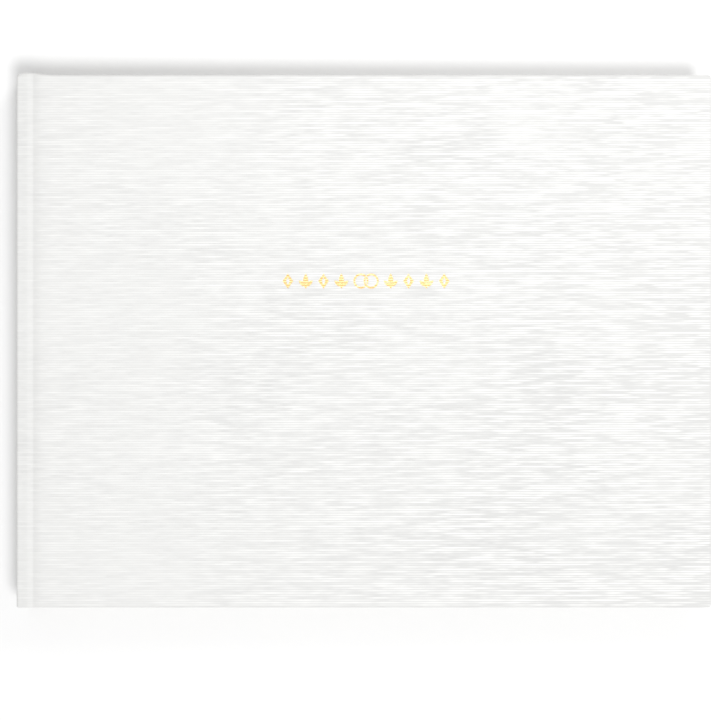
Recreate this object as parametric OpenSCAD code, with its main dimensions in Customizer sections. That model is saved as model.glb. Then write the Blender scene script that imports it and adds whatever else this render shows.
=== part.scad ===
// Landscape wedding guest book: a case binding with a cloth-covered case, a sewn
// block of blank leaves, endpapers and a foil ornament pressed into the front cover.
// X runs from spine to fore-edge, Y from tail to head and Z up from the table.
// The origin is the middle of the back cover's underside, and the book is closed.

/* [Book] */
// Width of the closed book, from spine to fore-edge
book_w = 300; // [240:5:340]
// Height of the closed book, from tail to head
book_h = 230; // [180:5:260]
// Thickness of the closed book
book_t = 20; // [18:0.5:28]

/* [Case] */
// Thickness of the cover boards and of the spine board
board_t = 2.2; // [1.8:0.1:2.4]
// Thickness of the book cloth
cloth_t = 0.3; // [0.2:0.05:0.35]
// Width of the cloth turned in over the boards' edges
turn_in = 15; // [12:1:20]
// Width of the spine's shoulder, from its outer face to the groove
shoulder_w = 4.4; // [4.3:0.1:6]
// Radius of the half-round groove that each cover hinges in
groove_r = 1.9; // [1.5:0.1:1.9]
// Radius of the cover's fore-edge corners
corner_r = 1.3; // [1:0.1:4]

/* [Block] */
// Number of sewn sections, half of them in each half of the block
section_count = 8; // [4:2:12]
// Folded sheets nested in one section, each of which makes two leaves
sheets_per_section = 4; // [2:1:4]
// How far the covers stand past the leaves at head, tail and fore-edge
square_w = 3.5; // [3:0.5:5]
// Thickness of the endpapers
endpaper_t = 0.2; // [0.15:0.05:0.25]
// Width of the mull glued down on the inside of each cover
flange_w = 22; // [18:1:28]
// Diameter of the sewing thread
thread_d = 0.4; // [0.3:0.05:0.45]
// Number of sewing stations along the spine
station_count = 6; // [4:2:8]
// Diameter of the headbands' bead
bead_d = 2; // [1.5:0.1:2.4]

/* [Ornament] */
// Distance of the ornament from the middle of the cover, towards the fore-edge
ornament_x = 1; // [-20:1:20]
// Distance of the ornament from the middle of the cover, towards the head
ornament_y = 26; // [-60:1:60]
// Height of the row of motifs
motif_h = 6.5; // [5:0.1:8]
// Distance between the motifs on each side of the rings
motif_pitch = 7.7; // [7:0.1:10]
// Motifs on each side of the rings
motifs_per_side = 4; // [2:1:5]
// Depth of the impression that holds the foil
impression = 0.12; // [0.08:0.01:0.15]

/* [Hidden] */
$fn = 48;
// Clearance between neighbours that stay together, and in a stack of leaves
air = 0.05;
leaf_air = 0.025;

// Where things lie across the book, from the spine's outer face
spine_x = -book_w / 2;
fore_x = book_w / 2;
spine_t = board_t + 2 * cloth_t;
edge_r = 1.1;
groove_x = spine_x + shoulder_w + groove_r;
board_x = groove_x + groove_r + cloth_t;
lining_x = spine_x + spine_t + 0.4;
lining_t = 0.2;
mull_x = lining_x + lining_t + air;
mull_t = 0.2;
thread_x = mull_x + mull_t + air + thread_d / 2;
fold_x = spine_x + shoulder_w - 0.1;

// Where things lie up the book, from the back cover's underside
cover_t = board_t + 2 * cloth_t;
block_z = cover_t + 2 * (endpaper_t + air);
section_pitch = (book_t - 2 * block_z) / section_count;
section_t = section_pitch - air;
leaf_pitch = section_t / (2 * sheets_per_section);
leaf_t = leaf_pitch - leaf_air;

page_fore_x = fore_x - square_w;
page_h = book_h - 2 * square_w;

// The mull stops short of the headbands' tapes
tape_h = 12;
mull_h = page_h - 2 * tape_h - 1;
station_span = page_h - 36;

cloth_colour = [0.95, 0.95, 0.93];
board_colour = [0.62, 0.58, 0.5];
paper_colour = [0.97, 0.96, 0.92];
thread_colour = [0.9, 0.88, 0.82];
foil_colour = [0.86, 0.73, 0.42];

function numbered(prefix, first, last) = [for (i = [first:last]) str(prefix, i)];

// ---- shared shapes -------------------------------------------------------

// A flat box from x0 to x1 and z0 to z1, h high and centred on the book's height
module slab(x0, x1, h, z0, z1) {
    translate([x0, -h / 2, z0]) cube([x1 - x0, h, z1 - z0]);
}

// The same, with its two fore-edge corners rounded
module rounded_slab(x0, x1, h, z0, z1, r) {
    translate([0, 0, z0]) linear_extrude(z1 - z0) union() {
        translate([x0, -h / 2]) square([x1 - r - x0, h]);
        translate([x0, r - h / 2]) square([x1 - x0, h - 2 * r]);
        for (side = [-1, 1]) translate([x1 - r, side * (h / 2 - r)]) circle(r);
    }
}

// An X-Z outline drawn out along the book's height
module along_height(h) {
    rotate([90, 0, 0]) linear_extrude(h, center = true) children();
}

// Turns a part of the back cover into its twin in the front cover
module front() {
    translate([0, 0, book_t]) mirror([0, 0, 1]) children();
}

// ---- case ----------------------------------------------------------------

module cover_board() {
    color(board_colour)
        rounded_slab(board_x, fore_x - cloth_t, book_h - 2 * cloth_t,
            cloth_t, cloth_t + board_t, corner_r - cloth_t);
}

// Cloth over the outside of a board, round its edges and turned in behind it
module cover_cloth() {
    color(cloth_colour) difference() {
        rounded_slab(board_x, fore_x, book_h, 0, cover_t, corner_r);
        rounded_slab(board_x - 1, fore_x - cloth_t, book_h - 2 * cloth_t,
            cloth_t, cloth_t + board_t, corner_r - cloth_t);
        slab(board_x - 1, fore_x - turn_in, book_h - 2 * turn_in, cloth_t, cover_t + 1);
    }
}

// Cloth from the spine's shoulder through the half-round groove to the board
module hinge_cloth() {
    lip_x = spine_x + spine_t + 0.1;
    color(cloth_colour) along_height(book_h) difference() {
        union() {
            translate([groove_x, 0]) circle(groove_r + cloth_t);
            translate([lip_x, 0]) square([groove_x - groove_r - lip_x, cloth_t]);
        }
        translate([groove_x, 0]) circle(groove_r);
        translate([spine_x, -book_t]) square([4 * shoulder_w, book_t]);
    }
}

// The spine's cross-section, drawn in by inset, with its outer edges rounded
module spine_outline(inset, depth) {
    r = edge_r - inset;
    z1 = book_t - inset;
    union() {
        translate([spine_x + edge_r, inset]) square([depth - edge_r, z1 - inset]);
        translate([spine_x + inset, edge_r]) square([depth - inset, book_t - 2 * edge_r]);
        for (z = [edge_r, book_t - edge_r]) translate([spine_x + edge_r, z]) circle(r);
    }
}

module spine_board() {
    color(board_colour) along_height(book_h - 2 * cloth_t) spine_outline(cloth_t, cloth_t + board_t);
}

// Cloth round the spine board, turned in at head and tail
module spine_cloth() {
    color(cloth_colour) difference() {
        along_height(book_h) spine_outline(0, spine_t);
        along_height(book_h - 2 * cloth_t) spine_outline(cloth_t, cloth_t + board_t);
        slab(spine_x + edge_r, spine_x + spine_t + 1, book_h - 2 * turn_in, cloth_t, book_t - cloth_t);
    }
}

// ---- block ---------------------------------------------------------------

// One folded sheet of a section. depth is 0 for the outermost sheet
module folded_sheet(depth) {
    outer = section_t / 2 - depth * leaf_pitch;
    inner = outer - leaf_t;
    leaf_w = page_fore_x - fold_x - section_t / 2;
    translate([fold_x + section_t / 2, 0]) difference() {
        union() {
            circle(outer);
            translate([0, -outer]) square([leaf_w, 2 * outer]);
        }
        circle(inner);
        translate([0, -inner]) square([leaf_w + 1, 2 * inner]);
    }
}

// A sewn section: folded sheets nested in each other. index counts from the front cover
module section(index) {
    color(paper_colour)
        translate([0, 0, book_t - block_z - (index - 0.5) * section_pitch])
        for (depth = [0:sheets_per_section - 1]) along_height(page_h) folded_sheet(depth);
}

// Loose half of an endpaper
module flyleaf() {
    z = cover_t + endpaper_t + air;
    color(paper_colour) slab(fold_x, page_fore_x, page_h, z, z + endpaper_t);
}

// Glued half of an endpaper. It dips to the board inside the frame of the turn-ins
module pastedown() {
    infill_x = board_x + flange_w + 1;
    color(paper_colour) union() {
        slab(board_x, page_fore_x, page_h, cover_t, cover_t + endpaper_t);
        slab(infill_x, fore_x - turn_in - 0.5, book_h - 2 * turn_in - 1, cover_t - cloth_t, cover_t);
    }
}

// The mull's flange, between the board and the pastedown
module mull_flange() {
    color(thread_colour) slab(board_x, board_x + flange_w, mull_h, cover_t - cloth_t, cover_t - cloth_t + mull_t);
}

// Open-weave cloth glued down the block's back
module mull() {
    color(thread_colour) slab(mull_x, mull_x + mull_t, mull_h, block_z, book_t - block_z);
}

// Kraft paper over the mull
module spine_lining() {
    color(board_colour) slab(lining_x, lining_x + lining_t, page_h - 2, block_z, book_t - block_z);
}

// Two passes of thread across the folds at each sewing station
module sewing_thread() {
    length = book_t - 2 * block_z - 1;
    step = station_span / (station_count - 1);
    color(thread_colour)
        for (i = [0:station_count - 1], pass = [-1, 1])
            translate([thread_x, i * step - station_span / 2 + pass * 0.6, book_t / 2])
                cylinder(h = length, d = thread_d, center = true);
}

// Bead over the ends of the folds, and the tape that holds it to the block's back
module headband() {
    bead_x = mull_x + mull_t + bead_d / 2 - 0.1;
    bead_y = page_h / 2 + 2 * air + bead_d / 2;
    z = cover_t + endpaper_t + 4 * air;
    color(thread_colour) union() {
        translate([bead_x, bead_y, z]) cylinder(h = book_t - 2 * z, d = bead_d);
        translate([mull_x, page_h / 2 - tape_h, z]) cube([mull_t, tape_h + bead_d / 2, book_t - 2 * z]);
    }
}

module headband_tail() {
    mirror([0, 1, 0]) headband();
}

// ---- ornament ------------------------------------------------------------

// A pointed leaf, the overlap of two circles
module leaf_shape(length, width) {
    r = (length * length + width * width) / (4 * width);
    intersection() {
        translate([r - width / 2, 0]) circle(r);
        translate([width / 2 - r, 0]) circle(r);
    }
}

module lozenge(width, height) {
    polygon([[0, height / 2], [width / 2, 0], [0, -height / 2], [-width / 2, 0]]);
}

// Three leaves that spring from one foot
module sprig(grow) {
    foot = -motif_h / 2;
    leaf_shape(motif_h + 2 * grow, 2.2 + 2 * grow);
    for (lean = [-48, 48])
        translate([0, foot + 0.8]) rotate(lean) translate([0, 2])
            leaf_shape(4 + 2 * grow, 1.6 + 2 * grow);
}

module open_lozenge(grow) {
    difference() {
        lozenge(4.6 + 2 * grow, motif_h + 2 * grow);
        lozenge(1.6 - 2 * grow, 3.4 - 4 * grow);
    }
}

// The band of one wedding ring, centred at x
module ring_band(x, grow) {
    r = motif_h / 2;
    translate([x, 0]) difference() {
        circle(r + grow);
        circle(r - 0.8 - grow);
    }
}

// One of two linked rings. It passes under the other on the side that under names
module linked_ring(x, under, grow) {
    gap = 0.2 - grow;
    difference() {
        ring_band(x, grow);
        intersection() {
            ring_band(-x, gap);
            translate([-motif_h, under > 0 ? 0 : -motif_h]) square([2 * motif_h, motif_h]);
        }
    }
}

// Linked rings between rows of sprigs and lozenges. grow widens every stroke's edge
module ornament(grow) {
    ring_x = 2.2;
    first_x = ring_x + motif_h / 2 + 5.2;
    translate([ornament_x, ornament_y]) {
        linked_ring(-ring_x, -1, grow);
        linked_ring(ring_x, 1, grow);
        for (side = [-1, 1], i = [0:motifs_per_side - 1])
            translate([side * (first_x + i * motif_pitch), 0])
                if (i % 2 == 0) sprig(grow); else open_lozenge(grow);
    }
}

// Gold foil at the bottom of the impressions in the front cover's cloth
module foil_ornament() {
    foil_t = 0.04;
    color(foil_colour) front()
        translate([0, 0, impression - foil_t]) linear_extrude(foil_t) ornament(0);
}

module front_cover_cloth() {
    color(cloth_colour) difference() {
        front() cover_cloth();
        front() translate([0, 0, -1]) linear_extrude(1 + impression) ornament(0.02);
    }
}

// ---- the book ------------------------------------------------------------

cover_board();  // back_board
cover_cloth();  // back_cover_cloth
hinge_cloth();  // back_hinge_cloth
mull_flange();  // back_mull_flange
pastedown();  // back_pastedown
flyleaf();  // back_flyleaf
spine_board();
spine_cloth();
spine_lining();
mull();
headband();  // headband_head
headband_tail();
sewing_thread();
front() cover_board();  // front_board
front_cover_cloth();
front() hinge_cloth();  // front_hinge_cloth
front() mull_flange();  // front_mull_flange
front() pastedown();  // front_pastedown
front() flyleaf();  // front_flyleaf
foil_ornament();
for (i = [1:section_count]) section(i);
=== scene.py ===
import math

import bmesh
import bpy
import numpy as np
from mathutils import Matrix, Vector
from mathutils.bvhtree import BVHTree


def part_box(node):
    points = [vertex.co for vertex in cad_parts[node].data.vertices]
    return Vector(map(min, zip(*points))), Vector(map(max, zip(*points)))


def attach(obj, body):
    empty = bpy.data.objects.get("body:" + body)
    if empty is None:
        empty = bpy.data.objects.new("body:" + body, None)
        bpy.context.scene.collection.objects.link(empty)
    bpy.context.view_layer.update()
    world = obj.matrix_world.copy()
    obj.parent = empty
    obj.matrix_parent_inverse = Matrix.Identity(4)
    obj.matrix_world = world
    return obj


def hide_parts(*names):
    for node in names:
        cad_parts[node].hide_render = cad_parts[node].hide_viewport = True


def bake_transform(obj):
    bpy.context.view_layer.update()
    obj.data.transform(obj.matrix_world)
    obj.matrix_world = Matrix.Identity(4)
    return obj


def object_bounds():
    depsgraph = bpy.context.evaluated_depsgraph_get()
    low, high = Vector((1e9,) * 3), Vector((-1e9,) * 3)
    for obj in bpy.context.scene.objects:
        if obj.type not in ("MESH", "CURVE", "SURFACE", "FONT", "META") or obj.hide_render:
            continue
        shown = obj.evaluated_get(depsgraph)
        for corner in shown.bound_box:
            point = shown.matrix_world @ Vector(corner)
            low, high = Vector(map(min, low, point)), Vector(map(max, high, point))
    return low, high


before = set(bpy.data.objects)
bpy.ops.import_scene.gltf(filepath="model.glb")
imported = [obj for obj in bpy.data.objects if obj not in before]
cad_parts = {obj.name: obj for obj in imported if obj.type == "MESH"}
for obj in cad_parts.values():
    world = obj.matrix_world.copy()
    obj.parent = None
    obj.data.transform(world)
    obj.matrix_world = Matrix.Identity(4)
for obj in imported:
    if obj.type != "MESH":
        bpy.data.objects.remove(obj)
cad_low, cad_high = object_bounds()

# ---- sizes ---------------------------------------------------------------
# Lengths are in millimetres, with X from the spine's outer face towards the fore-edge, Y from
# the middle towards the head and Z up from the table. place() turns them into the frame's metres.
MM = 0.001
ORIGIN = np.array([cad_low.x, 0.0, cad_low.z])


def place(points):
    return np.asarray(points, float) * MM + ORIGIN


def extent(node):
    """Lowest and highest corner of a CAD node."""
    return [(np.array(corner) - ORIGIN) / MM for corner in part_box(node)]


BOOK_W, BOOK_H, BOOK_T = np.array(cad_high - cad_low) / MM
CLOTH_T = extent("back_board")[0][2]
COVER_T = extent("back_board")[1][2] + CLOTH_T
BOARD_X = extent("back_board")[0][0]
SPINE_T = extent("spine_cloth")[1][0]
FOLD_X, PAGE_X = (corner[0] for corner in extent("section_1"))
PAGE_H = 2 * extent("section_1")[1][1]
ENDPAPER_T = np.diff([corner[2] for corner in extent("back_flyleaf")])[0]
FLANGE_X = extent("back_mull_flange")[1][0]
TURN_IN = 15.0
SECTION_COUNT = 8
SHEETS_PER_SECTION = 4

# The cloth's ribs run from spine to fore-edge
RIB_PITCH = 1.03
RIB_HEIGHT = 0.06
ROW_STEP = RIB_PITCH / 4
SLUB_LENGTH = 9.0
# Pitch of the threads in the mull and in the headbands' tapes
WEAVE_PITCH = 0.9
# How far apart two neighbouring ribs read the noise that makes them uneven
RIB_UNLIKENESS = 17.3

# The joint between spine and cover, as distances from the spine's outer face
SPINE_EDGE_R = 1.15
SHOULDER_DROP = 0.12
CREST_X = 4.5
GROOVE_X = 7.3
PLATEAU_X = 10.8
GROOVE_DEPTH = 0.42
COVER_SEAM_X = 11.0
SHOULDER_SEAM_X = 3.4
# How far the covers' cloth reaches round the spine's edge, and how thick its fold is there
SPINE_LAP = 2.5
LAP_T = 1.0
SPINE_SEAM_Z = BOOK_T - SPINE_LAP

# How cloth folds over the head and tail of spine, joint and boards
LAYER_GAP = 0.02
FOLD_T = 2 * CLOTH_T + LAYER_GAP
BOARD_EDGE_R = 0.85
SPINE_CAP_R = 1.8
SPINE_TAIL_R = 0.6
INNER_EDGE_R = 0.28
HEAD_CAP = 0.8
# How far short of head and tail the ribbed grid stops, to leave room for the rounded edges
EDGE_ROOM = 1.3
# How deep the die pressed the foil into the cloth
DIE_DEPTH = 0.135
# Steps of the cloth's grid along the ribs, on the open cover and round the ornament
COARSE_STEP = 4.9
PATCH_STEP = 0.2


def smooth(t):
    t = np.clip(t, 0, 1)
    return t * t * (3 - 2 * t)


def value_noise(a, b, seed):
    """Smooth noise from -1 to 1 on a unit lattice."""
    table = np.random.default_rng(seed).uniform(-1, 1, (256, 256))
    a, b = np.broadcast_arrays(a, b)
    ia, ib = np.floor(a).astype(int), np.floor(b).astype(int)
    fa, fb = smooth(a - ia), smooth(b - ib)
    low = table[ia % 256, ib % 256] * (1 - fa) + table[(ia + 1) % 256, ib % 256] * fa
    high = table[ia % 256, (ib + 1) % 256] * (1 - fa) + table[(ia + 1) % 256, (ib + 1) % 256] * fa
    return low * (1 - fb) + high * fb


# ---- meshes --------------------------------------------------------------

# What the material reads on a side of the cloth or board that stays out of sight
HIDDEN = (0, 0, 0)


class Shape:
    """Points, what the material reads at each one, and faces, gathered for one mesh."""

    def __init__(self):
        self.points, self.woven, self.faces, self.count = [], [], [], 0

    def add(self, points, woven):
        """Adds an array of points and returns their indices in the same arrangement."""
        points = np.asarray(points, float)
        self.points.append(points.reshape(-1, 3))
        self.woven.append(np.broadcast_to(woven, points.shape).reshape(-1, 3))
        made = np.arange(self.count, self.count + points[..., 0].size).reshape(points.shape[:-1])
        self.count += made.size
        return made

    def bridge(self, a, b):
        """Quads between two rows of as many points."""
        self.faces += np.stack([a[:-1], a[1:], b[1:], b[:-1]], axis=-1).tolist()

    def grid(self, index):
        quads = [index[:-1, :-1], index[:-1, 1:], index[1:, 1:], index[1:, :-1]]
        self.faces += np.stack(quads, axis=-1).reshape(-1, 4).tolist()

    def join_rows(self, a, b, along_a, along_b):
        """Triangles between two rows whose points stand at different places along them."""
        i = j = 0
        while i < len(a) - 1 or j < len(b) - 1:
            step_a = j == len(b) - 1 or (i < len(a) - 1 and along_a[i + 1] <= along_b[j + 1])
            self.faces.append([int(a[i]), int(a[i + 1] if step_a else b[j + 1]), int(b[j])])
            i, j = (i + 1, j) if step_a else (i, j + 1)

    def sheet(self, outer, inner, woven):
        """A sheet with a thickness, closed round its rim."""
        front, back = self.add(outer, woven), self.add(inner, woven)
        self.grid(front)
        self.grid(back[::-1])
        for edge in (np.s_[0, :], np.s_[-1, :], np.s_[:, 0], np.s_[:, -1]):
            self.bridge(front[edge], back[edge])

    def piece(self, name, material, crisp=40):
        """The mesh as an object in the frame, with double points welded, faces turned outwards and
        edges that turn by more than crisp degrees kept sharp."""
        mesh = bpy.data.meshes.new(name)
        # Blender smooths the first face's edges even where they are sharp, so a hidden one goes first
        mesh.from_pydata(place(np.concatenate(self.points)).tolist(), [], self.faces[::-1])
        woven = mesh.attributes.new("woven", "FLOAT_VECTOR", "POINT")
        woven.data.foreach_set("vector", np.concatenate(self.woven).astype(np.float32).ravel())
        work = bmesh.new()
        work.from_mesh(mesh)
        bmesh.ops.remove_doubles(work, verts=work.verts, dist=0.002 * MM)
        bmesh.ops.recalc_face_normals(work, faces=work.faces)
        for edge in work.edges:
            edge.smooth = edge.calc_face_angle(0) < math.radians(crisp)
        work.to_mesh(mesh)
        work.free()
        mesh.polygons.foreach_set("use_smooth", [True] * len(mesh.polygons))
        mesh.materials.append(material)
        made = bpy.data.objects.new(name, mesh)
        bpy.context.scene.collection.objects.link(made)
        return made


def on_side(points, side):
    """Places given for the front cover: as they are, or the same places in the back cover."""
    points = np.asarray(points, float)
    return points if side > 0 else points * [1, 1, -1] + [0, 0, BOOK_T]


# ---- materials -----------------------------------------------------------


class Look:
    """A material's node tree, built one call at a time."""

    def __init__(self, name, **sockets):
        self.material = bpy.data.materials.new(name)
        self.material.use_nodes = True
        self.tree = self.material.node_tree
        self.shader = self.tree.nodes["Principled BSDF"]
        for socket, value in sockets.items():
            self.shader.inputs[socket.replace("_", " ")].default_value = value

    def node(self, kind, inputs=(), **settings):
        made = self.tree.nodes.new("ShaderNode" + kind)
        for key, value in settings.items():
            setattr(made, key, value)
        for key, value in dict(inputs).items():
            if isinstance(value, bpy.types.NodeSocket):
                self.tree.links.new(value, made.inputs[key])
            else:
                made.inputs[key].default_value = value
        return made

    def math(self, operation, a, b=0.0, c=0.0):
        return self.node("Math", {0: a, 1: b, 2: c}, operation=operation).outputs[0]

    def woven(self):
        """What Shape.add() was given at each point."""
        return self.node("Attribute", attribute_name="woven").outputs["Vector"]

    def place(self):
        return self.node("TexCoord").outputs["Object"]

    def stretched(self, vector, scale):
        return self.node("VectorMath", {0: vector, 1: scale}, operation="MULTIPLY").outputs[0]

    def noise(self, vector, scale, detail=2.0, roughness=0.5):
        """Noise of one feature per unit, after vector is multiplied by scale."""
        inputs = {
            "Vector": self.stretched(vector, scale),
            "Scale": 1.0,
            "Detail": detail,
            "Roughness": roughness,
        }
        return self.node("TexNoise", inputs).outputs["Fac"]

    def ramp(self, value, low, high, to_low=0.0, to_high=1.0):
        inputs = {
            "Value": value,
            "From Min": low,
            "From Max": high,
            "To Min": to_low,
            "To Max": to_high,
        }
        return self.node("MapRange", inputs).outputs["Result"]

    def mix(self, factor, a, b):
        made = self.node("Mix", data_type="RGBA")
        for socket, value in zip((made.inputs[0], made.inputs[6], made.inputs[7]), (factor, a, b)):
            if isinstance(value, bpy.types.NodeSocket):
                self.tree.links.new(value, socket)
            else:
                socket.default_value = value
        return made.outputs[2]

    def set(self, socket, value):
        self.tree.links.new(value, self.shader.inputs[socket])

    def bump(self, height, distance):
        """Relief of the shader, with distance in metres for a height of one."""
        made = self.node("Bump", {"Height": height, "Distance": distance, "Strength": 1.0})
        self.set("Normal", made.outputs["Normal"])


def grey(value, warmth=0.0):
    """A grey with a little less blue for its warmth."""
    return (value, value, value * (1 - warmth), 1.0)


def darker(colour, share):
    return tuple(share * channel for channel in colour[:3]) + (1,)


def cloth_look():
    """Ribbed book cloth: woven.xy is the unrolled place in millimetres, woven.z the ribs' relief."""
    look = Look("book_cloth", Roughness=0.62, Specular_IOR_Level=0.35,
                Sheen_Weight=0.08, Sheen_Roughness=0.4)
    woven = look.woven()
    u, v, relief = look.node("SeparateXYZ", {0: woven}).outputs
    flat = look.node("VectorMath", {0: woven, 1: (1, 1, 0)}, operation="MULTIPLY").outputs[0]
    along = look.math("ABSOLUTE", u)
    # Each rib is a thread of its own, thick and thin by turns along its length
    rib = look.math("FLOOR", look.math("DIVIDE", v, RIB_PITCH))
    on_rib = look.node("CombineXYZ", {0: u, 1: look.math("MULTIPLY", rib, RIB_UNLIKENESS)}).outputs[0]
    slubs = look.noise(on_rib, (0.13, 1, 1), detail=1.0)
    threads = look.noise(flat, (2.6, 0.5, 1), detail=1.0)
    patches = look.noise(flat, (0.02, 0.03, 1), detail=3.0)
    uneven = look.noise(flat, (0.012, 0.016, 1), detail=1.0)

    # The ribs' painted light and shade are faintest at the spine and grow towards the fore-edge
    rib_shade_gain = look.ramp(along, 0.2 * BOOK_W, BOOK_W, 0.6, 1.9)
    rib_shade_contrast = look.math("MULTIPLY", rib_shade_gain, look.ramp(uneven, 0.35, 0.65, 0.8, 1.3))
    thickness = look.ramp(slubs, 0.25, 0.75, -0.5, 0.5)
    height = look.math("MULTIPLY_ADD", thickness, 0.6, look.ramp(relief, 0.0, 0.9, -0.6, 0.6))
    # Painted shade and highlight: the colour darkens in the ribs' valleys and thin stretches and
    # lightens on their crowns and thick slubs
    rib_light_and_shade = look.math("MULTIPLY_ADD", height, look.math("MULTIPLY", rib_shade_contrast, 0.8), 0.5)
    body = look.mix(look.ramp(rib_light_and_shade, 0, 1), grey(0.66, 0.012), grey(0.87, 0.016))
    body = look.mix(look.ramp(patches, 0.3, 0.7, 0.0, 0.3), body, grey(0.775, 0.02))

    # Painted shade: the cloth is greyed a little where it turns over the rounded edges
    to_end = look.ramp(look.math("ABSOLUTE", v), BOOK_H / 2 - 1.2, BOOK_H / 2 - 0.4)
    to_side = look.ramp(along, length_at(BOOK_W - 1.2), length_at(BOOK_W - 0.4))
    painted_edge_shade = look.math("MULTIPLY", look.math("MAXIMUM", to_end, to_side), 0.5)
    look.set("Base Color", look.mix(painted_edge_shade, body, grey(0.68, 0.02)))
    fine = look.math("MULTIPLY_ADD", threads, 0.35, look.ramp(slubs, 0.35, 0.75))
    look.bump(fine, 0.05 * MM)
    return look.material


def paper_look(name, colour, fibre):
    look = Look(name, Roughness=0.82, Specular_IOR_Level=0.25)
    woven = look.woven()
    cloud = look.noise(woven, (0.05, 0.05, 0.7), detail=4.0)
    tooth = look.noise(woven, (2.2, 2.2, 1), detail=3.0)
    body = look.mix(look.ramp(cloud, 0.3, 0.7), colour, darker(colour, 0.965))
    # Each leaf has its own tone, which shows at the block's edges
    leaf = look.node("SeparateXYZ", {0: woven}).outputs[2]
    tone = look.node("TexWhiteNoise", {"W": leaf}, noise_dimensions="1D").outputs["Value"]
    body = look.mix(look.ramp(tone, 0.3, 1.0, 0.0, 0.6), body, darker(colour, 0.88))
    look.set("Base Color", body)
    look.bump(tooth, fibre * MM)
    return look.material


def board_look():
    look = Look("grey_board", Roughness=0.9)
    fibres = look.noise(look.place(), (900, 300, 900), detail=5.0, roughness=0.7)
    dark, pale = (0.31, 0.27, 0.21, 1), (0.48, 0.44, 0.37, 1)
    look.set("Base Color", look.mix(look.ramp(fibres, 0.35, 0.65), dark, pale))
    look.bump(fibres, 0.1 * MM)
    return look.material


def gauze_look():
    """Open-weave mull, with its warp and weft as two crossed waves."""
    look = Look("mull_gauze", Roughness=0.85, Sheen_Weight=0.1)
    x, y, z = look.node("SeparateXYZ", {0: look.place()}).outputs
    turns = 2 * math.pi / (WEAVE_PITCH * MM)
    waves = [look.math("SINE", look.math("MULTIPLY", axis, turns)) for axis in (x, y, z)]
    weave = look.math("MAXIMUM", look.math("MAXIMUM", waves[0], waves[2]), waves[1])
    dark, pale = (0.55, 0.50, 0.40, 1), (0.84, 0.81, 0.73, 1)
    look.set("Base Color", look.mix(look.ramp(weave, 0.0, 0.9), dark, pale))
    look.bump(weave, 0.08 * MM)
    return look.material


def kraft_look():
    look = Look("kraft_paper", Roughness=0.75)
    fibres = look.noise(look.place(), (500, 2500, 500), detail=5.0, roughness=0.65)
    dark, pale = (0.42, 0.28, 0.15, 1), (0.60, 0.44, 0.27, 1)
    look.set("Base Color", look.mix(look.ramp(fibres, 0.3, 0.7), dark, pale))
    look.bump(fibres, 0.05 * MM)
    return look.material


def thread_look(name, colour, pitch):
    """Twisted thread whose strands climb round it."""
    look = Look(name, Roughness=0.6, Sheen_Weight=0.2)
    x, y, z = look.node("SeparateXYZ", {0: look.place()}).outputs
    turn = look.math("ADD", look.math("ADD", x, y), z)
    strand = look.math("SINE", look.math("MULTIPLY", turn, 2 * math.pi / (pitch * MM)))
    look.set("Base Color", look.mix(look.ramp(strand, -1, 0.6), darker(colour, 0.72), colour))
    look.bump(strand, 0.05 * MM)
    return look.material


def foil_look():
    """Pale gold foil, broken a little where it bridges the ribs of the cloth."""
    look = Look("gold_foil", Metallic=1.0, Roughness=0.3)
    y = look.node("SeparateXYZ", {0: look.place()}).outputs["Y"]
    rib = look.math("SINE", look.math("MULTIPLY", y, 2 * math.pi / (RIB_PITCH * MM)))
    grain = look.noise(look.place(), (900, 2600, 900), detail=3.0)
    gold = look.mix(look.ramp(grain, 0.35, 0.65), (0.79, 0.49, 0.19, 1), (0.97, 0.76, 0.39, 1))
    look.set("Base Color", gold)
    look.set("Roughness", look.ramp(grain, 0.3, 0.7, 0.5, 0.36))
    look.bump(look.math("MULTIPLY_ADD", grain, 0.8, rib), 0.015 * MM)
    return look.material


# ---- cloth of the case ---------------------------------------------------


def surface_drop(x):
    """How far the cover's outer surface lies below its plateau, from the spine's edge on."""
    shoulder = SHOULDER_DROP * (1 - smooth((x - SPINE_EDGE_R) / (CREST_X - SPINE_EDGE_R)))
    falling = smooth((x - CREST_X) / (GROOVE_X - CREST_X))
    rising = np.clip((PLATEAU_X - x) / (PLATEAU_X - GROOVE_X), 0, 1) ** 2
    return shoulder + GROOVE_DEPTH * np.where(x < GROOVE_X, falling, rising)


def joint_path():
    """(X, Z) points from the middle of the spine round its edge and through the groove."""
    arc_z = BOOK_T - SHOULDER_DROP - SPINE_EDGE_R
    face = [(0, z) for z in (*np.linspace(BOOK_T / 2, SPINE_SEAM_Z, 5), (SPINE_SEAM_Z + arc_z) / 2)]
    turns = np.linspace(0, math.pi / 2, 9)[:-1]
    edge = [(SPINE_EDGE_R * (1 - math.cos(a)), arc_z + SPINE_EDGE_R * math.sin(a)) for a in turns]
    top = np.concatenate([
        np.linspace(SPINE_EDGE_R, SHOULDER_SEAM_X, 6)[:-1],
        np.linspace(SHOULDER_SEAM_X, CREST_X, 4)[:-1],
        np.linspace(CREST_X, PLATEAU_X, 26)[:-1],
        [PLATEAU_X, COVER_SEAM_X]])
    return np.array(face + edge + [(x, BOOK_T - surface_drop(x)) for x in top])


PATH = joint_path()
PATH_NORMAL = np.gradient(PATH, axis=0) @ np.array([[0, 1], [-1, 0]])
PATH_NORMAL /= np.linalg.norm(PATH_NORMAL, axis=1, keepdims=True)
PATH_NORMAL[0], PATH_NORMAL[-1] = (-1, 0), (0, 1)
PATH_LENGTH = np.concatenate([[0], np.cumsum(np.linalg.norm(np.diff(PATH, axis=0), axis=1))])
SPINE_SEAM = int(np.argmin(np.hypot(PATH[:, 0], PATH[:, 1] - SPINE_SEAM_Z)))
SHOULDER_SEAM = int(np.argmin(np.abs(PATH[:, 0] - SHOULDER_SEAM_X) + (PATH[:, 1] < BOOK_T - 1)))

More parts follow.
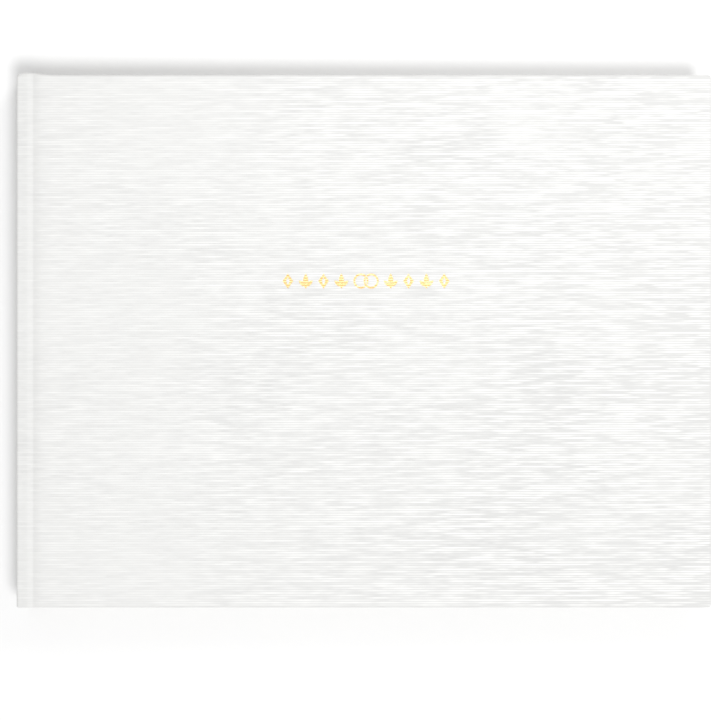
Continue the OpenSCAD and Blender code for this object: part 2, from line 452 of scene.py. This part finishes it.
# Rows of the cloth's grid, a quarter of a rib apart, short of the boards' rounded edges
ROW_COUNT = int((BOOK_H / 2 - EDGE_ROOM) / ROW_STEP)
ROWS = np.arange(-ROW_COUNT, ROW_COUNT + 1) * ROW_STEP
REACH = BOOK_H / 2 - ROWS[-1]


def length_at(x):
    """Length of cloth from the spine's middle to a place on a cover."""
    return PATH_LENGTH[-1] + x - COVER_SEAM_X


def rib_strength(x):
    """The cloth is pressed smoother in the joint than on the boards."""
    return 0.35 + 0.65 * smooth((x - 8) / 6)


def relief(u, v):
    """Height of the ribs, from 0 in a valley to 1 on a thick rib's crown."""
    rib = np.floor(v / RIB_PITCH + 1e-6)
    crown = np.sin(math.pi * np.clip(v / RIB_PITCH - rib, 0, 1))
    return crown * (0.6 + 0.4 * value_noise(u / SLUB_LENGTH + RIB_UNLIKENESS * rib, rib, 3))


def drift(u, v):
    """How far the ribs wander from a straight line, which fades out at head and tail."""
    fade = smooth((ROWS[-1] - np.abs(v)) / 12)
    return 0.1 * fade * value_noise(u / 30 + 50, v / 14 + 50, 5)


def fold_over(edge_y, thickness, radius, inner_radius):
    """The cloth's way over an edge, seen in section: depth below the outer face and Y, with the
    outward direction at each point. It runs to the inner face's edge."""
    flat_depth = thickness - inner_radius
    last = math.acos(max(0.0, 1 - flat_depth / radius))
    outer = np.linspace(0, last, 6)
    depth = list(radius * (1 - np.cos(outer)))
    y = list(edge_y - radius + radius * np.sin(outer))
    way = [(-math.cos(a), math.sin(a)) for a in outer]
    depth += list(np.linspace(depth[-1], max(flat_depth, depth[-1]), 3)[1:])
    y += [y[-1]] * 2
    way += [(0, 1)] * 2
    inner = np.linspace(0, math.pi / 2, 4)[1:]
    top = y[-1]
    depth += list(flat_depth + inner_radius * np.sin(inner))
    y += list(top - inner_radius * (1 - np.cos(inner)))
    way += [(math.sin(a), math.cos(a)) for a in inner]
    return np.array(depth), np.array(y), np.array(way)


TURNED_ROWS = (BOOK_H / 2 - 4, BOOK_H / 2 - 9, BOOK_H / 2 - TURN_IN)


def section_line(edge_head, edge_tail, thickness, head_r, tail_r):
    """The cloth in section from the tail's turn-in over the outer face to the head's turn-in."""
    inner_radius = min(INNER_EDGE_R, thickness / 2)
    halves = []
    for edge, radius in ((edge_tail, tail_r), (edge_head, head_r)):
        depth, y, way = fold_over(edge, thickness, radius, inner_radius)
        depth = np.concatenate([depth, [thickness] * len(TURNED_ROWS)])
        y = np.concatenate([y, TURNED_ROWS])
        way = np.concatenate([way, [(1, 0)] * len(TURNED_ROWS)])
        steps = np.hypot(np.diff(depth, prepend=0), np.diff(y, prepend=ROWS[-1]))
        halves.append((depth, y, way, ROWS[-1] + np.cumsum(steps)))
    (d0, y0, w0, v0), (d1, y1, w1, v1) = halves
    depth = np.concatenate([d0[::-1], np.zeros(len(ROWS)), d1])
    y = np.concatenate([-y0[::-1], ROWS, y1])
    way = np.concatenate([w0[::-1] * [1, -1], [(-1, 0)] * len(ROWS), w1])
    v = np.concatenate([-v0[::-1], ROWS, v1])
    return depth, y, way, v


def cap_height(x):
    """The cloth stands a little proud over the head of the spine and its joint."""
    return HEAD_CAP * (1 - smooth((x - 8.5) / 5))


def joint_strip(line, normal, length, side, thickness, head_r, tail_r, head, strength):
    """Cloth that follows an X-Z line, with the cloth folded over at head and tail."""
    outer, inner, woven = [], [], []
    stations = zip(line, normal, length, thickness, head_r, tail_r, head, strength)
    for (x, z), (nx, nz), along, deep, round_head, round_tail, proud, rib_share in stations:
        depth, y, way, v = section_line(BOOK_H / 2 + proud, BOOK_H / 2, deep, round_head, round_tail)
        u = np.full(len(v), side * along)
        ribs = relief(u, v)
        out = np.stack([-nx * way[:, 0], way[:, 1], -nz * way[:, 0]], axis=1)
        points = np.stack([x - nx * depth, y + drift(u, v), z - nz * depth], axis=1)
        outer.append(points + out * (RIB_HEIGHT * rib_share * ribs)[:, None])
        inner.append(points - out * CLOTH_T)
        woven.append(np.stack([u, v, ribs * rib_share], axis=1))
    outer, inner, woven = (np.swapaxes(rows, 0, 1) for rows in (outer, inner, woven))
    shape = Shape()
    shape.sheet(on_side(outer, side), on_side(inner, side), woven)
    return shape


def path_strip(first, last, side):
    """Cloth over a stretch of the joint's path. Its folds grow from the bare joint to the board."""
    stretch = np.s_[first:last + 1]
    x = PATH[stretch, 0]
    on_board = smooth((x - 7.4) / 1.6)
    off_spine = smooth((x - 1.0) / (SHOULDER_SEAM_X - 1.0))
    thickness = LAP_T + (FOLD_T - LAP_T) * off_spine + (COVER_T - FOLD_T) * on_board
    radii = [r + (FOLD_T / 2 - r) * off_spine + (BOARD_EDGE_R - FOLD_T / 2) * on_board
             for r in (SPINE_CAP_R, SPINE_TAIL_R)]
    return joint_strip(PATH[stretch], PATH_NORMAL[stretch], PATH_LENGTH[stretch], side,
                       thickness, *radii, cap_height(x), rib_strength(x))


def spine_strip():
    """Cloth on the spine board. Past the seams it lies under the cloth that turns to the covers."""
    lapped = np.array([0.42, 0.6, 0.9, 1.4, SPINE_LAP - 0.05])
    face = np.linspace(SPINE_LAP, BOOK_T - SPINE_LAP, 9)
    z = np.concatenate([lapped, face, BOOK_T - lapped[::-1]])
    from_middle = np.abs(z - BOOK_T / 2)
    beyond = np.clip(from_middle - (BOOK_T / 2 - SPINE_EDGE_R), 0, None)
    rounding = SPINE_EDGE_R - np.sqrt(np.clip(SPINE_EDGE_R ** 2 - beyond ** 2, 0, None))
    under = (from_middle > BOOK_T / 2 - SPINE_LAP + 0.01) * (CLOTH_T + 0.05)
    x = np.clip(rounding + under, 0, SPINE_T - 1)
    line = np.stack([x, z], axis=1)
    normal = np.tile([-1.0, 0.0], (len(z), 1))
    head_r, tail_r = np.full(len(z), SPINE_CAP_R), np.full(len(z), SPINE_TAIL_R)
    return joint_strip(line, normal, z - BOOK_T / 2, 1, SPINE_T - x, head_r, tail_r,
                       HEAD_CAP - 0.4 * under, rib_strength(0 * z))


def foil_distance(points):
    """How far each point of the cover lies from the foil, in plan."""
    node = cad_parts["foil_ornament"]
    tree = BVHTree.FromPolygons([v.co[:] for v in node.data.vertices],
                                [p.vertices[:] for p in node.data.polygons])
    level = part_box("foil_ornament")[1].z
    at_level = place(points)
    at_level[:, 2] = level
    return np.array([tree.find_nearest(Vector(p))[3] for p in at_level]) / MM


def impression(points):
    """How deep the die pressed the cloth in and round the foil."""
    return DIE_DEPTH * (1 - smooth((foil_distance(points) - 0.03) / 0.22))


def cover_grid(with_ornament):
    """Rows of (Y, X places) over a cover's outer face, fine where the ornament is pressed in."""
    count = int((BOOK_W - REACH - COVER_SEAM_X) / COARSE_STEP)
    coarse = np.linspace(COVER_SEAM_X, BOOK_W - REACH, count + 1)
    if not with_ornament:
        return [(y, coarse) for y in ROWS]
    low, high = extent("foil_ornament")
    x0, x1 = coarse[coarse < low[0] - 0.5][-1], coarse[coarse > high[0] + 0.5][0]
    y0, y1 = ROWS[ROWS < low[1] - 0.5][-1], ROWS[ROWS > high[1] + 0.5][0]
    fine = np.linspace(x0, x1, int((x1 - x0) / PATCH_STEP) + 1)
    columns = np.concatenate([coarse[coarse < x0 - 0.01], fine, coarse[coarse > x1 + 0.01]])
    fine_rows = np.linspace(y0, y1, int((y1 - y0) / PATCH_STEP) + 1)
    return ([(y, coarse) for y in ROWS if y < y0 - 0.01] + [(y, columns) for y in fine_rows]
            + [(y, coarse) for y in ROWS if y > y1 + 0.01])


def cover_cloth(side):
    """Cloth on a cover: its ribbed face, the rounded edges and the turn-ins, with its thickness."""
    shape = Shape()
    rows = cover_grid(side > 0)

    index = []
    for y, xs in rows:
        u, v = side * length_at(xs), np.full(len(xs), y)
        ribs = relief(u, v)
        z = BOOK_T - surface_drop(xs) + RIB_HEIGHT * rib_strength(xs) * ribs
        points = np.stack([xs, v + drift(u, v), z], axis=1)
        if side > 0 and len(xs) > len(rows[0][1]):
            points[:, 2] -= impression(points)
        woven = np.stack([u, v, ribs * rib_strength(xs)], axis=1)
        index.append(shape.add(on_side(points, side), woven))
    for (row, (_, xs)), (next_row, (_, next_xs)) in zip(zip(index, rows), zip(index[1:], rows[1:])):
        if len(row) == len(next_row):
            shape.bridge(row, next_row)
        else:
            shape.join_rows(row, next_row, xs, next_xs)

    # The rim of that grid: along the tail, up the fore-edge and back along the head
    corner_turns = np.radians(np.linspace(0, 90, 6))[1:-1]
    xs, ys = rows[0][1], np.array([y for y, _ in rows])
    rim = [(x, ys[0], 0, -1, i) for x, i in zip(xs, index[0])]
    rim += [(xs[-1], ys[0], math.sin(a), -math.cos(a), index[0][-1]) for a in corner_turns]
    rim += [(xs[-1], y, 1, 0, row[-1]) for y, row in zip(ys, index)]
    rim += [(xs[-1], ys[-1], math.cos(a), math.sin(a), index[-1][-1]) for a in corner_turns]
    rim += [(x, ys[-1], 0, 1, i) for x, i in zip(xs[::-1], index[-1][::-1])]
    x, y, nx, ny, start = np.array(rim).T
    reach = REACH + cap_height(x) * (ny > 0.999)
    top = BOOK_T - surface_drop(x)

    outer_rings, inner_rings = [start.astype(int)], []
    depth, off, way = fold_over(0.0, COVER_T, BOARD_EDGE_R, INNER_EDGE_R)
    arc = np.cumsum(np.hypot(np.diff(depth, prepend=0), np.diff(off, prepend=-REACH)))
    start_inside = np.stack([x, y, top - CLOTH_T], axis=1)
    inner_rings.append(shape.add(on_side(start_inside, side), HIDDEN))
    for d, o, (w_depth, w_out), a in zip(depth, off, way, arc):
        u, v = side * length_at(x + nx * a), y + ny * a
        ribs = relief(u, v) * rib_strength(x)
        out = np.stack([nx * w_out, ny * w_out, np.full(len(x), -w_depth)], axis=1)
        base = np.stack([x + nx * (reach + o), y + ny * (reach + o), top - d], axis=1)
        ribbed = base + out * (RIB_HEIGHT * ribs)[:, None]
        outer_rings.append(shape.add(on_side(ribbed, side), np.stack([u, v, ribs], axis=1)))
        inner_rings.append(shape.add(on_side(base - out * CLOTH_T, side), HIDDEN))
    for row in TURNED_ROWS:
        inset = BOOK_H / 2 - row
        px, py = np.minimum(x, BOOK_W - inset), np.clip(y, -row, row)
        a = arc[-1] + inset - INNER_EDGE_R
        u, v = side * length_at(x + nx * a), y + ny * a
        ribs = relief(u, v)
        level = BOOK_T - COVER_T
        ribbed = np.stack([px, py, level - 0.5 * RIB_HEIGHT * ribs], axis=1)
        glued = np.stack([px, py, 0 * px + level + CLOTH_T], axis=1)
        outer_rings.append(shape.add(on_side(ribbed, side), np.stack([u, v, ribs], axis=1)))
        inner_rings.append(shape.add(on_side(glued, side), HIDDEN))
    for rings in (outer_rings, inner_rings):
        for ring, next_ring in zip(rings, rings[1:]):
            shape.bridge(ring, next_ring)
    shape.bridge(outer_rings[-1], inner_rings[-1])
    for end in (0, -1):
        shape.bridge(np.array([r[end] for r in outer_rings]), np.array([r[end] for r in inner_rings]))

    # Behind the face the cloth is glued flat to the board
    seam = np.stack([0 * ys + COVER_SEAM_X, ys, 0 * ys + BOOK_T - CLOTH_T], axis=1)[1:-1]
    seam_index = shape.add(on_side(seam, side), HIDDEN)
    behind = np.concatenate([inner_rings[0][:1], seam_index, inner_rings[0][-1:]])
    shape.bridge(np.array([row[0] for row in index]), behind)
    shape.faces.append(np.concatenate([inner_rings[0], behind[-2:0:-1]]).tolist())
    return shape


def outline(x0, x1, half, radius):
    """A plan outline whose fore-edge corners are round."""
    turns = np.linspace(0, math.pi / 2, 5)
    low = [(x1 - radius + radius * math.sin(a), -half + radius - radius * math.cos(a)) for a in turns]
    high = [(x1 - radius + radius * math.cos(a), half - radius + radius * math.sin(a)) for a in turns]
    return np.array([(x0, -half), *low, *high, (x0, half)])


def board(side):
    """A cover's board. Its spine edge is rounded off under the cloth that drops into the groove."""
    shape = Shape()
    low, high = extent("front_board")
    edge = BOARD_X + 0.4
    # The board's edge from its inner face to its outer face: start in X, inset and level
    profile = (
        (edge + 0.6, 0.35, low[2] + 0.02),
        (edge, 0.02, low[2] + 0.3),
        (edge, 0.02, high[2] - 1.2),
        (edge + 0.35, 0.08, high[2] - 0.45),
        (edge + 1.8, 0.3, high[2] - 0.02),
    )
    rings = []
    for x0, inset, z in profile:
        plan = outline(x0, high[0] - inset, high[1] - inset, 1.0)
        points = np.column_stack([plan, np.full(len(plan), z)])
        rings.append(shape.add(on_side(points, side), HIDDEN))
    for ring, next_ring in zip(rings, rings[1:]):
        shape.bridge(np.append(ring, ring[0]), np.append(next_ring, next_ring[0]))
    shape.faces += [rings[0].tolist(), rings[-1].tolist()]
    return shape


# ---- leaves and endpapers ------------------------------------------------


def section_leaves(number):
    """The folded sheets of one section, nested in each other and sewn through the fold."""
    low, high = extent(f"section_{number}")
    rng = np.random.default_rng(100 + number)
    middle, half = (low[2] + high[2]) / 2, (high[2] - low[2]) / 2 - 0.03
    pitch = half / SHEETS_PER_SECTION
    leaf_t = pitch - 0.025
    centre_x = FOLD_X + half
    shape = Shape()
    # The leaves' points stand closer together from the fold to here, where they bend
    bend = 26
    for depth in range(SHEETS_PER_SECTION):
        radius = half - depth * pitch
        trims = rng.uniform(-0.1, 0.1, 2)
        head, tail = PAGE_H / 2 + rng.uniform(-0.14, 0.04), -PAGE_H / 2 + rng.uniform(-0.04, 0.14)
        flat = np.linspace(bend, PAGE_X - centre_x, 9)
        reach = np.concatenate([np.linspace(0, bend, 18)[1:], flat[1:]])
        turns = np.linspace(math.pi / 2, 3 * math.pi / 2, 13)
        faces = []
        for r in (radius, radius - leaf_t):
            upper = [(centre_x + x, r) for x in reach[::-1]]
            fold = [(centre_x + r * math.cos(a), r * math.sin(a)) for a in turns]
            lower = [(centre_x + x, -r) for x in reach]
            line = np.array(upper + fold + lower)
            line[0, 0] += trims[0]
            line[-1, 0] += trims[1]
            faces.append(line)
        ys = np.linspace(tail, head, 7)
        grids = [np.array([[(x, y, middle + z) for x, z in line] for y in ys]) for line in faces]
        woven = grids[0] * [1, 1, 0] + [0, 0, 10 * number + depth]
        woven[..., 2] += 5 * (grids[0][..., 2] > middle)
        shape.sheet(grids[0], grids[1], woven)
    return shape


def flyleaf(node):
    """The loose half of an endpaper."""
    low, high = extent(node)
    xs = np.concatenate([np.linspace(low[0], 40, 14), np.linspace(40, high[0], 12)[1:]])
    x, y = np.meshgrid(xs, np.linspace(low[1], high[1], 9))
    ripple = 0.018 * value_noise(x / 45, y / 40, 21)
    shape = Shape()
    woven = np.stack([x, y, 0 * x + 7], axis=-1)
    upper = np.stack([x, y, high[2] + ripple], axis=-1)
    lower = np.stack([x, y, low[2] + ripple], axis=-1)
    shape.sheet(upper, lower, woven)
    return shape


def steps_across(edge):
    """Places on both sides of an edge that shows through the paper."""
    return np.linspace(edge - 1.2, edge + 1.2, 7)


def sink(gap):
    """How far the paper has sunk, from 0 to 1, at a distance inside an edge."""
    return smooth((gap + 1.0) / 2.0)


def pastedown(side):
    """The glued half of an endpaper. It sinks between the turn-ins and shows the mull's edge."""
    level = BOOK_T - COVER_T
    frame_x = BOOK_W - TURN_IN
    xs = np.concatenate([
        np.linspace(FOLD_X, 12, 16),
        steps_across(FLANGE_X + 1),
        np.linspace(36, 280, 12),
        steps_across(frame_x - 1),
        [PAGE_X]])
    inner_y = BOOK_H / 2 - TURN_IN - 1
    half_y = np.concatenate([np.linspace(0, inner_y - 4, 6), steps_across(inner_y), [PAGE_H / 2]])
    x, y = np.meshgrid(xs, np.concatenate([-half_y[:0:-1], half_y]))
    sunk = 0.24 * sink(frame_x - 1 - x) * sink(inner_y - np.abs(y)) * smooth((x - 9) / 2.5)
    over_mull = 1 - 0.75 * sink(FLANGE_X + 1 - x)
    face = level - ENDPAPER_T + sunk * over_mull + 0.012 * value_noise(x / 9, y / 9, 31)
    shape = Shape()
    woven = np.stack([x, y, 0 * x + 9], axis=-1)
    outer = np.stack([x, y, face], axis=-1)
    inner = np.stack([x, y, face + ENDPAPER_T - 0.01], axis=-1)
    shape.sheet(on_side(outer, side), on_side(inner, side), woven)
    return shape


# ---- headbands -----------------------------------------------------------


def headband(node):
    """A bead wound with silk, on the tape that holds it to the block's back."""
    low, high = extent(node)
    end = 1 if high[1] > 0 else -1
    outermost = high[1] if end > 0 else -low[1]
    bead_r = 1.0
    centre = (high[0] - bead_r, end * (outermost - bead_r))
    winds = 20
    z = np.linspace(low[2], high[2], winds * 6 + 1)
    angle, level = np.meshgrid(np.linspace(0, 2 * math.pi, 21)[:-1], z)
    wind = np.abs(np.sin(math.pi * (level - low[2]) / (z[-1] - z[0]) * winds + 0.25 * np.sin(angle)))
    ends = smooth((level - low[2]) / 0.5) * smooth((high[2] - level) / 0.5)
    r = bead_r * (0.80 + 0.20 * wind ** 0.6) * (0.55 + 0.45 * ends)
    bead = np.stack([centre[0] + r * np.cos(angle), centre[1] + r * np.sin(angle), level], axis=-1)
    shape = Shape()
    index = shape.add(bead, bead)
    closed = np.concatenate([index, index[:, :1]], axis=1)
    shape.grid(closed)
    shape.faces += [index[0].tolist(), index[-1].tolist()]
    inner_y = min(abs(low[1]), abs(high[1]))
    tape_y = end * np.linspace(inner_y, outermost - bead_r, 30)
    y, z_tape = np.meshgrid(tape_y, np.linspace(low[2], high[2], 12))
    waves = 0.03 * np.sin(y * 2 * math.pi / WEAVE_PITCH)
    tape_x = low[0] + 0.03
    outer = np.stack([tape_x + 0.14 + waves, y, z_tape], axis=-1)
    shape.sheet(outer, np.stack([0 * y + tape_x, y, z_tape], axis=-1), outer)
    return shape


# ---- pieces --------------------------------------------------------------

CLOTH = cloth_look()
PAPER = paper_look("leaf_paper", (0.81, 0.795, 0.755, 1), 0.012)
ENDPAPER = paper_look("endpaper", (0.79, 0.78, 0.755, 1), 0.016)
BOARD = board_look()
GAUZE = gauze_look()
KRAFT = kraft_look()
SEWING = thread_look("linen_thread", (0.86, 0.83, 0.75, 1), 0.5)
SILK = thread_look("headband_silk", (0.90, 0.88, 0.83, 1), 0.35)
FOIL = foil_look()


def dress(node, material):
    """Gives a CAD node that stays in sight its material."""
    mesh_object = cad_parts[node]
    mesh_object.data.materials.clear()
    mesh_object.data.materials.append(material)


def make_case():
    last = len(PATH) - 1
    spine = spine_strip().piece("case_spine_cloth", CLOTH)
    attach(spine, "spine")
    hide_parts("spine_cloth")

    back_joint = path_strip(SPINE_SEAM, last, -1).piece("case_back_joint_cloth", CLOTH)
    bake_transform(back_joint)
    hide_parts("back_hinge_cloth")

    shoulder = path_strip(SPINE_SEAM, SHOULDER_SEAM, 1).piece("case_front_shoulder_cloth", CLOTH)
    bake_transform(shoulder)

    front_joint = path_strip(SHOULDER_SEAM, last, 1).piece("case_front_joint_cloth", CLOTH)
    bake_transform(front_joint)
    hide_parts("front_hinge_cloth")

    for side, body in ((1, "front_cover"), (-1, "back_cover")):
        cloth = cover_cloth(side).piece(f"case_{body}_cloth", CLOTH)
        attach(cloth, body)
        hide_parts(f"{body}_cloth")
        core = board(side).piece(f"case_{body}_board", BOARD, crisp=20)
        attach(core, body)
        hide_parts(body.replace("cover", "board"))


def make_endpapers():
    for side, body in ((1, "front_cover"), (-1, "back_cover")):
        glued = pastedown(side).piece(f"{body}_endpaper", ENDPAPER)
        if side > 0:
            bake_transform(glued)
        else:
            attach(glued, body)
        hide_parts(body.replace("cover", "pastedown"))
    front = flyleaf("front_flyleaf").piece("front_loose_endpaper", ENDPAPER)
    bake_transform(front)
    back = flyleaf("back_flyleaf").piece("back_loose_endpaper", ENDPAPER)
    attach(back, "back_cover")
    for piece, node in ((front, "front_flyleaf"), (back, "back_flyleaf")):
        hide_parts(node)


def make_block():
    for number in range(1, SECTION_COUNT + 1):
        leaves = section_leaves(number).piece(f"leaves_{number}", PAPER)
        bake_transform(leaves)
        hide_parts(f"section_{number}")
    for end in ("head", "tail"):
        band = headband(f"headband_{end}").piece(f"{end}_band", SILK)
        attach(band, "spine")
        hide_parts(f"headband_{end}")


def dress_cad():
    dress("spine_board", BOARD)
    dress("spine_lining", KRAFT)
    dress("sewing_thread", SEWING)
    dress("foil_ornament", FOIL)
    for node in ("mull", "back_mull_flange", "front_mull_flange"):
        dress(node, GAUZE)


# ---- studio --------------------------------------------------------------


# Width of what the camera sees at the level of the cover, and where the picture's middle lies
# from the book's, in millimetres
VIEW_W = 310.8
VIEW_X, VIEW_Y = -1.6, -8.07


def camera():
    """Looks straight down on the cover."""
    data = bpy.data.cameras.new("camera")
    data.lens, data.sensor_width = 100, 36
    height = VIEW_W * data.lens / data.sensor_width
    made = bpy.data.objects.new("camera", data)
    made.location = place((BOOK_W / 2 + VIEW_X, VIEW_Y, BOOK_T + height))
    bpy.context.scene.collection.objects.link(made)
    bpy.context.scene.camera = made


def area_light(name, location, size, power):
    """A round white lamp, with place and size in metres, turned towards the frame's origin."""
    data = bpy.data.lights.new(name, "AREA")
    data.shape, data.size, data.energy = "DISK", size, power
    made = bpy.data.objects.new(name, data)
    made.location = location
    made.rotation_euler = (Vector((0, 0, 0)) - Vector(location)).to_track_quat("-Z", "Y").to_euler()
    made.visible_camera = False
    bpy.context.scene.collection.objects.link(made)


def studio():
    """A pale floor just under the book, a white sky, a large key light and a small one near by."""
    half, level = 3.0, cad_low.z - 0.2 * MM
    corners = [(-half, -half, level), (half, -half, level), (half, half, level), (-half, half, level)]
    floor_mesh = bpy.data.meshes.new("floor")
    floor_mesh.from_pydata(corners, [], [(0, 1, 2, 3)])
    look = Look("floor_paper", Roughness=0.95, Specular_IOR_Level=0.1)
    look.shader.inputs["Base Color"].default_value = grey(0.9)
    floor_mesh.materials.append(look.material)
    floor = bpy.data.objects.new("floor", floor_mesh)
    bpy.context.scene.collection.objects.link(floor)

    world = bpy.data.worlds.new("studio")
    world.use_nodes = True
    sky = world.node_tree.nodes["Background"]
    sky.inputs["Color"].default_value = (1, 1, 1, 1)
    sky.inputs["Strength"].default_value = 0.63
    bpy.context.scene.world = world
    area_light("key", (0.75, -1.3, 3.3), size=1.3, power=68)
    area_light("corner", (0.16, 0.34, 0.36), size=0.25, power=0.52)
    bpy.context.scene.view_settings.view_transform = "Standard"


camera()
studio()
make_case()
make_endpapers()
make_block()
dress_cad()
